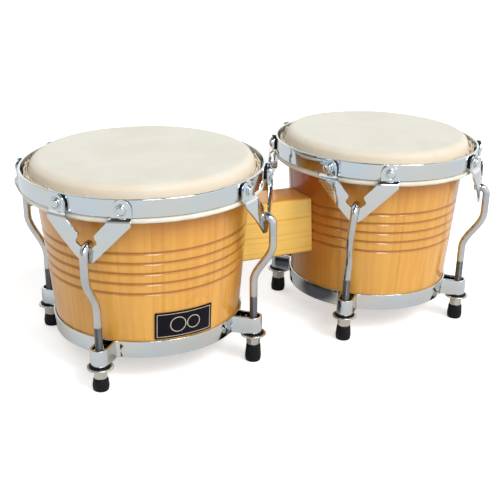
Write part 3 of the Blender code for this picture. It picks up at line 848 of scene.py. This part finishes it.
def bracket_outline():
    """The flat outline of the V bracket, as (across, down) from the middle of its rivets."""
    ear = arc((RIVET_REACH, 0.0), EAR_RADIUS, 0.0, -180.0, 16)
    foot = [Vector((0.0038, BRACKET_DEPTH)), Vector((0.0058, 0.0442)), Vector((0.0360, 0.0129))]
    throat = [(0.0068, 0.0218), (0.0072, 0.0242), (0.0090, 0.0268), (0.0088, 0.0288)]
    arm = rounded([(0.0200, 0.0), (0.0200, 0.0073), throat[0]], 0.0012, 3)[4:8]
    arm += [Vector(point) for point in throat + [(SLOT_HALF_WIDTH, 0.0328)]]
    slot = arc((0.0, SLOT_FLOOR - SLOT_HALF_WIDTH), SLOT_HALF_WIDTH, 0.0, 90.0, 7)
    half = foot + ear + arm + slot[1:]
    return half + [Vector((-x, y)) for x, y in half[-2::-1]]


def bracket_mesh(drum):
    """A pressed plate: round ears lifted off the rim, a joggle over the hoop, and a flat slotted foot."""
    rim = drum.rim
    middle = (rim.top + rim.base) / 2
    shape = bmesh.new()
    shape.faces.new([shape.verts.new((0.0, x, -y)) for x, y in bracket_outline()])
    for step in range(JOGGLE_STEPS + 1):
        down = JOGGLE[0] + (JOGGLE[1] - JOGGLE[0]) * step / JOGGLE_STEPS
        cut_flat(shape, (0.0, 0.0, -down), (0.0, 0.0, 1.0))
    for side in (-1, 0, 1):
        for shift in (-0.014, -0.007, 0.0, 0.007):
            cut_flat(shape, (0.0, side * (RIVET_REACH + shift), 0.0), (0.0, 1.0, 0.0))
    bmesh.ops.triangulate(shape, faces=shape.faces)
    for vertex in shape.verts:
        across, down = vertex.co.y, -vertex.co.z
        on_rim = math.sqrt((rim.outer + EAR_LIFT) ** 2 - across * across)
        clear = math.sqrt((rim.outer + BRACKET_OFFSET) ** 2 - across * across)
        share = smooth((down - JOGGLE[0]) / (JOGGLE[1] - JOGGLE[0]))
        vertex.co = (on_rim + share * (clear - on_rim), across, middle - down)
    shape.normal_update()
    mesh = finished_mesh("bracket", shape)
    return applied(mesh, solidified(PLATE_THICKNESS, mesh), PLATE_BEVEL)


def rivet_mesh(drum):
    """A rivet along Z: a head with a ring groove round it, a shank, and a spread tail inside the rim."""
    seat = drum.rim.outer + EAR_LIFT + PLATE_THICKNESS
    profile = [Vector((0.0, seat + RIVET_HEIGHT)), Vector((0.0022, seat + 0.00248))]
    profile += arc((0.0024, seat + 0.0011), 0.0013, 75.0, 0.0, 6)
    groove = [(0.0037, 0.0003), (0.0041, 0.0003), (0.0041, 0.0008)]
    profile += [Vector((radius, seat + rise)) for radius, rise in groove]
    profile += arc((0.0047, seat + 0.0006), 0.0005, 120.0, 0.0, 5)
    profile += [Vector((0.0051, seat - 0.0004)), Vector((RIVET_SHANK, seat - 0.0004))]
    tail = drum.rim.outer - RIM_THICKNESS
    spread = [(RIVET_SHANK, 0.0002), (0.0040, 0.0003), (0.0036, 0.0010), (0.0020, 0.0015), (0.0, 0.0017)]
    profile += [Vector((radius, tail - drop)) for radius, drop in spread]
    return turned("rivet", profile, 48)


def spacer_mesh(drum):
    """The dark washer between the rim and a bracket's ear, with its axis along Z."""
    foot, top = drum.rim.outer - 0.0004, drum.rim.outer + EAR_LIFT + 0.0001
    profile = [(SPACER_BORE, top), (SPACER_RADIUS, top), (SPACER_RADIUS, foot), (SPACER_BORE, foot)]
    return turned("spacer", rounded(profile, 0.0001, 2), 48)


def rod_path(drum, twist):
    """The rod's centre line above its foot, and its count of thread rows.

    It goes up through the thread, out in an S bend while it turns by the twist, and over in a hook.
    """
    rod = drum.span(drum.name + "_tuning_rod_1")
    hook = rod.outer - ROD_RADIUS
    top = rod.top - ROD_RADIUS

    def at(out, turn, height):
        return Vector((out * math.cos(turn), out * math.sin(turn), height))

    shank_top = top - HOOK_RADIUS
    fine = THREAD_PITCH / 4
    rows = int((THREAD_TOP - rod.base) / fine)
    path = [at(drum.foot_circle, 0.0, rod.base + fine * row) for row in range(rows + 1)]
    for step in range(BEND_STEPS + 1):
        share = step / BEND_STEPS
        out = drum.foot_circle + smooth(share) * (hook - drum.foot_circle)
        height = ROD_BEND[0] + share * (ROD_BEND[1] - ROD_BEND[0])
        path.append(at(out, twist * (height - THREAD_TOP) / (shank_top - THREAD_TOP), height))
    for out, height in arc((hook - HOOK_RADIUS, shank_top), HOOK_RADIUS, 0.0, 90.0, 12):
        path.append(at(out, twist, height))
    path += [at(hook - HOOK_TIP + 0.0007, twist, top), at(hook - HOOK_TIP, twist, top)]
    return path, rows


def rod_mesh(drum, twist):
    path, threaded = rod_path(drum, twist)
    last = len(path) - 1

    def radius_at(index, angle):
        if index in (0, last):
            return ROD_RADIUS - 0.0007
        if index > threaded - 2:
            return ROD_RADIUS
        turn = (path[index].z / THREAD_PITCH - angle / (2 * math.pi)) % 1.0
        return ROD_RADIUS - THREAD_DEPTH * abs(2.0 * turn - 1.0)

    return swept(drum.name + "_rod", path, radius_at)


def add_lugs(drum):
    """Brackets, rivets, spacers, rods and rubber caps, four times round the drum."""
    bracket, rivet, spacer = bracket_mesh(drum), rivet_mesh(drum), spacer_mesh(drum)
    middle = (drum.rim.top + drum.rim.base) / 2
    swing = math.asin(RIVET_REACH / (drum.rim.outer + PLATE_THICKNESS))
    turns = [(lug - foot + math.pi) % (2 * math.pi) - math.pi for lug, foot in zip(drum.lugs, drum.feet)]
    twist = sum(turns) / len(turns)
    rod = rod_mesh(drum, twist)
    for number, foot, lug in zip(LUGS, drum.feet, drum.lugs):
        label = f"{drum.name}_lug_bracket_{number}"
        turn = Matrix.Rotation(lug, 4, "Z")
        piece(label + "_plate", bracket, drum.matrix, CHROME, "chrome", drum.tension, label, turn=turn)
        for side, word in ((-1, "left"), (1, "right")):
            turn = Matrix.Rotation(lug + side * swing, 4, "Z") @ Matrix.Translation((0.0, 0.0, middle))
            turn = turn @ Matrix.Rotation(math.radians(90.0), 4, "Y")
            name = f"{drum.name}_rivet_{number}_{word}"
            piece(name, rivet, drum.matrix, CHROME, "chrome", drum.tension, turn=turn)
            name = f"{drum.name}_spacer_{number}_{word}"
            piece(name, spacer, drum.matrix, FIBRE, "rubber", drum.tension, turn=turn)
        label = f"{drum.name}_tuning_rod_{number}"
        turn = Matrix.Rotation(foot, 4, "Z")
        piece(label + "_steel", rod, drum.matrix, ROD_STEEL, "chrome", drum.tension, label, turn=turn)
        add_cap(drum, number)


def add_cap(drum, number):
    """A rubber cap that flares to its foot, with rounded edges and a blind bore."""
    label = f"{drum.name}_foot_cap_{number}"
    low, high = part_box(label)
    radius = (high.y - low.y) / 2 / math.cos(math.pi / CAP_SIDES)
    corners = [(radius - 0.0009, high.z), (radius, CAP_SHOULDER), (radius - 0.0006, 0.0), (CAP_BORE, 0.0)]
    outside = rounded([(CAP_BORE, high.z)] + corners, 0.0011, 6)
    profile = [Vector((CAP_BORE, high.z - 0.0003))] + outside[7:-7]
    profile += [Vector((0.0, 0.0)), Vector((0.0, CAP_BORE_DEPTH)), Vector((CAP_BORE, CAP_BORE_DEPTH))]
    mesh = turned(label, profile, 64)
    place = Matrix.Translation(((low.x + high.x) / 2, (low.y + high.y) / 2, 0.0))
    piece(label + "_rubber", mesh, place, RUBBER, "rubber", drum.tension, label)


# ---- what joins and dresses the pair ----


def add_block(drums):
    """The pine block, with eased arrises and ends hollowed to the shells."""
    low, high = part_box("centre_block")
    shape = bmesh.new()
    bmesh.ops.create_cube(shape, size=1.0)
    bmesh.ops.scale(shape, vec=high - low + Vector((BLOCK_OVERLAP, 0.0, 0.0)), verts=shape.verts)
    edges = list(shape.edges)
    bmesh.ops.bevel(shape, geom=edges, offset=BLOCK_EDGE, segments=4, profile=0.5, affect="EDGES")
    middle = (low + high) / 2
    bmesh.ops.translate(shape, vec=middle, verts=shape.verts)
    mesh = finished_mesh("centre_block", shape)
    cutters = []
    for drum in drums:
        shell = drum.shell
        base, crown = shell.outer_at(shell.base) + GAP, shell.outer + GAP
        cone = [(0.0, shell.widest), (crown, shell.widest), (base, shell.base), (0.0, shell.base)]
        cutter = bpy.data.objects.new("cutter", turned("cutter", cone, 2 * ROUND))
        cutter.matrix_world = drum.matrix
        bpy.context.scene.collection.objects.link(cutter)
        cutters.append(cutter)
    bpy.context.view_layer.update()
    cut = {"operation": "DIFFERENCE", "solver": "EXACT"}
    block = applied(mesh, *[("BOOLEAN", {"object": cutter, **cut}) for cutter in cutters])
    for cutter in cutters:
        bpy.data.objects.remove(cutter)
    block.transform(Matrix.Translation(-middle))
    place = Matrix.Translation(middle)
    piece("centre_block_pine", block, place, PINE, "block_wood", "drum_pair", "centre_block")


def circle(centre, radius, steps=48):
    turns = [2 * math.pi * step / steps for step in range(steps)]
    return [Vector((centre + radius * math.cos(turn), radius * math.sin(turn))) for turn in turns]


def rectangle(width, height):
    """A rectangle with eased corners, from its half width and half height."""
    return rounded([(-width, -height), (width, -height), (width, height), (-width, height)], 0.0005, 3)


def curved_sheet(drum, middle, outer, inner, thick, lift):
    """A sheet that hugs the shell round a height. Its outline, and any hole's, are (across, up) points."""
    shell = drum.shell
    foot = shell.outer_at(shell.base)
    slope = (shell.outer - foot) / (shell.widest - shell.base)
    shape = bmesh.new()
    rim = [shape.verts.new((x, y, 0.0)) for x, y in outer]
    if inner:
        hole = [shape.verts.new((x, y, 0.0)) for x, y in inner]
        for index in range(len(rim)):
            shape.faces.new((rim[index - 1], rim[index], hole[index], hole[index - 1]))
    else:
        shape.faces.new(rim)
    reach = max(x for x, _ in outer)
    for step in range(-11, 12):
        cut_flat(shape, (reach * step / 12, 0.0, 0.0), (1.0, 0.0, 0.0))
    for vertex in shape.verts:
        level = middle + vertex.co.y
        radius = foot + slope * (level - shell.base) + lift
        turn = vertex.co.x / radius
        vertex.co = (radius * math.cos(turn), radius * math.sin(turn), level)
    mesh = finished_mesh("sheet", shape)
    return applied(mesh, solidified(thick, mesh), bevel(thick * 0.25, 2))


def add_badge(drum):
    """A black plate with a pale border line and two plain rings: the two drums from above."""
    badge = drum.span("badge_plate")
    turns = [drum.bearing(point) for point in drum.points("badge_plate")]
    facing = (max(turns) + min(turns)) / 2
    width = (max(turns) - min(turns)) / 2 * badge.inner
    middle = (badge.top + badge.base) / 2
    height = (badge.top - badge.base) / 2
    place = drum.matrix @ Matrix.Rotation(facing, 4, "Z")
    plate = curved_sheet(drum, middle, rectangle(width, height), None, BADGE_THICKNESS, GAP)
    piece("badge_plate_black", plate, place, BADGE_BLACK, "badge", "drum_pair", "badge_plate")
    lines = {"border": [rectangle(width - inset, height - inset) for inset in BADGE_BORDER]}
    for name, (centre, radius) in BADGE_RINGS.items():
        lines[name] = [circle(centre, radius), circle(centre, radius - RING_WIDTH)]
    for name, (outer, inner) in lines.items():
        line = curved_sheet(drum, middle, outer, inner, LINE_THICKNESS, LINE_LIFT)
        piece("badge_" + name, line, place, BADGE_LINE, "badge", "drum_pair")


# ---- the studio ----


def add_floor():
    """A plain pale floor. In reflections it has a painted shadow, a darker round patch between the drums."""
    shape = bmesh.new()
    bmesh.ops.create_circle(shape, cap_ends=True, radius=FLOOR_RADIUS, segments=64)
    look = Look("floor")
    vector, (x, y, _) = look.place()
    tone = look.mix(look.noise(vector, 3.0, 3.0), *FLOOR_TONES)
    seen = look.seen()
    # Painted shadow between the drums, seen only in reflections.
    aside = look.math("ADD", x, FLOOR_SHADOW_ASIDE)
    lit = look.math("MAXIMUM", seen, look.between(look.reach(aside, y), *FLOOR_SHADOW_RADII))
    look.shade(Base_Color=look.mix(lit, FLOOR_SHADOW_COLOUR, tone), Roughness=0.8, Specular_IOR_Level=0.1)
    look.shade(Emission_Color=colour(WHITE), Emission_Strength=look.times(seen, FLOOR_FILL))
    floor = bpy.data.objects.new("floor", finished_mesh("floor", shape))
    floor.data.materials.append(look.material)
    bpy.context.scene.collection.objects.link(floor)


def direction(bearing, height):
    flat, rise = math.radians(bearing), math.radians(height)
    return Vector((math.cos(flat) * math.cos(rise), math.sin(flat) * math.cos(rise), math.sin(rise)))


def add_lamp(name, bearing, height, width, strength):
    lamp = bpy.data.lights.new(name, "SUN")
    lamp.energy = strength
    lamp.angle = math.radians(width)
    holder = bpy.data.objects.new(name, lamp)
    holder.rotation_euler = direction(bearing, height).to_track_quat("Z", "Y").to_euler()
    bpy.context.scene.collection.objects.link(holder)


def add_patch(sky, place, under, tint, bearing, height, width, strength):
    """Lays a soft round patch of a colour over the walls' colour so far, and gives the new colour."""
    inputs = {0: place, 1: direction(bearing, height)}
    aim = sky.node("ShaderNodeVectorMath", inputs, operation="DOT_PRODUCT")
    edge, core = [math.cos(math.radians(angle)) for angle in (width, width * PATCH_CORE)]
    share = sky.between(aim.outputs["Value"], edge, core, 0.0, strength)
    return sky.mix(share, under, tint)


def add_world():
    """Walls that the camera sees white. Reflections show a dark left side, and a dim top with a window."""
    world = bpy.data.worlds.new("studio")
    bpy.context.scene.world = world
    world.use_nodes = True
    sky = Nodes(world.node_tree)
    place = sky.node("ShaderNodeTexCoord").outputs["Generated"]
    height = sky.node("ShaderNodeSeparateXYZ", {0: place}).outputs["Z"]
    ramp = sky.node("ShaderNodeValToRGB", {0: height})
    wall, ceiling = ramp.color_ramp.elements
    wall.position, wall.color = WALL_TOP, colour(WHITE)
    ceiling.position, ceiling.color = CEILING_EDGE, colour(CEILING)
    tone = add_patch(sky, place, ramp.outputs["Color"], WALL_SHADE, *DARK_WALL)
    tone = add_patch(sky, place, tone, WHITE, *WINDOW)
    background = sky.tree.nodes["Background"].inputs
    sky.set(background["Color"], sky.mix(sky.seen(), tone, WHITE))
    background["Strength"].default_value = WORLD_STRENGTH


def add_camera():
    camera = bpy.data.cameras.new("camera")
    camera.sensor_width = 36.0
    camera.lens = CAMERA_LENS
    holder = bpy.data.objects.new("camera", camera)
    yaw, pitch, roll = [math.radians(angle) for angle in CAMERA_TURN]
    turn = Matrix.Rotation(yaw, 4, "Z") @ Matrix.Rotation(math.pi / 2 - pitch, 4, "X")
    holder.matrix_world = Matrix.Translation(CAMERA_PLACE) @ turn @ Matrix.Rotation(roll, 4, "Z")
    bpy.context.scene.collection.objects.link(holder)
    bpy.context.scene.camera = holder


RAW_WOOD = stave_wood("raw_wood", True)
PINE = plank_wood("pine")
LAPPED_SKIN = lapped_skin("lapped_skin")
FRAYED_SKIN = skin("frayed_skin", 0.02, 0.0)
CHROME = plated("chrome", (0.655, 0.692, 0.715), 0.045, 0.10, 0.04)
NICKEL = plated("nickel", (0.60, 0.565, 0.52), 0.20, 0.34, 0.10)
ROD_STEEL = rod_steel("rod_steel")
RUBBER = rubber("rubber")
FIBRE = enamel("fibre", (0.010, 0.010, 0.010), 0.5)
BADGE_BLACK = enamel("badge_black", (0.004, 0.004, 0.009), 0.30)
BADGE_LINE = enamel("badge_line", (0.62, 0.54, 0.42), 0.35)
DRUMS = [Drum("large"), Drum("small")]
for each in DRUMS:
    crown = each.matrix @ Vector((0.0, 0.0, each.shell.top))
    each.skin = skin(each.name + "_skin", each.shell.outer, crown.x)
    each.wood = stave_wood(each.name + "_staves", False, SHADED_SIDE_BEARING.get(each.name))
    add_shell(each)
    add_skin(each)
    add_band(each)
    add_nuts_and_washers(each)
    add_block_fixing(each)
    add_rim(each)
    add_hoop(each)
    add_lugs(each)
add_block(DRUMS)
add_badge(DRUMS[0])
add_floor()
add_world()
add_lamp("key_lamp", *KEY_LAMP)
add_lamp("side_lamp", *SIDE_LAMP)
add_camera()
bpy.context.scene.view_settings.view_transform = "Standard"
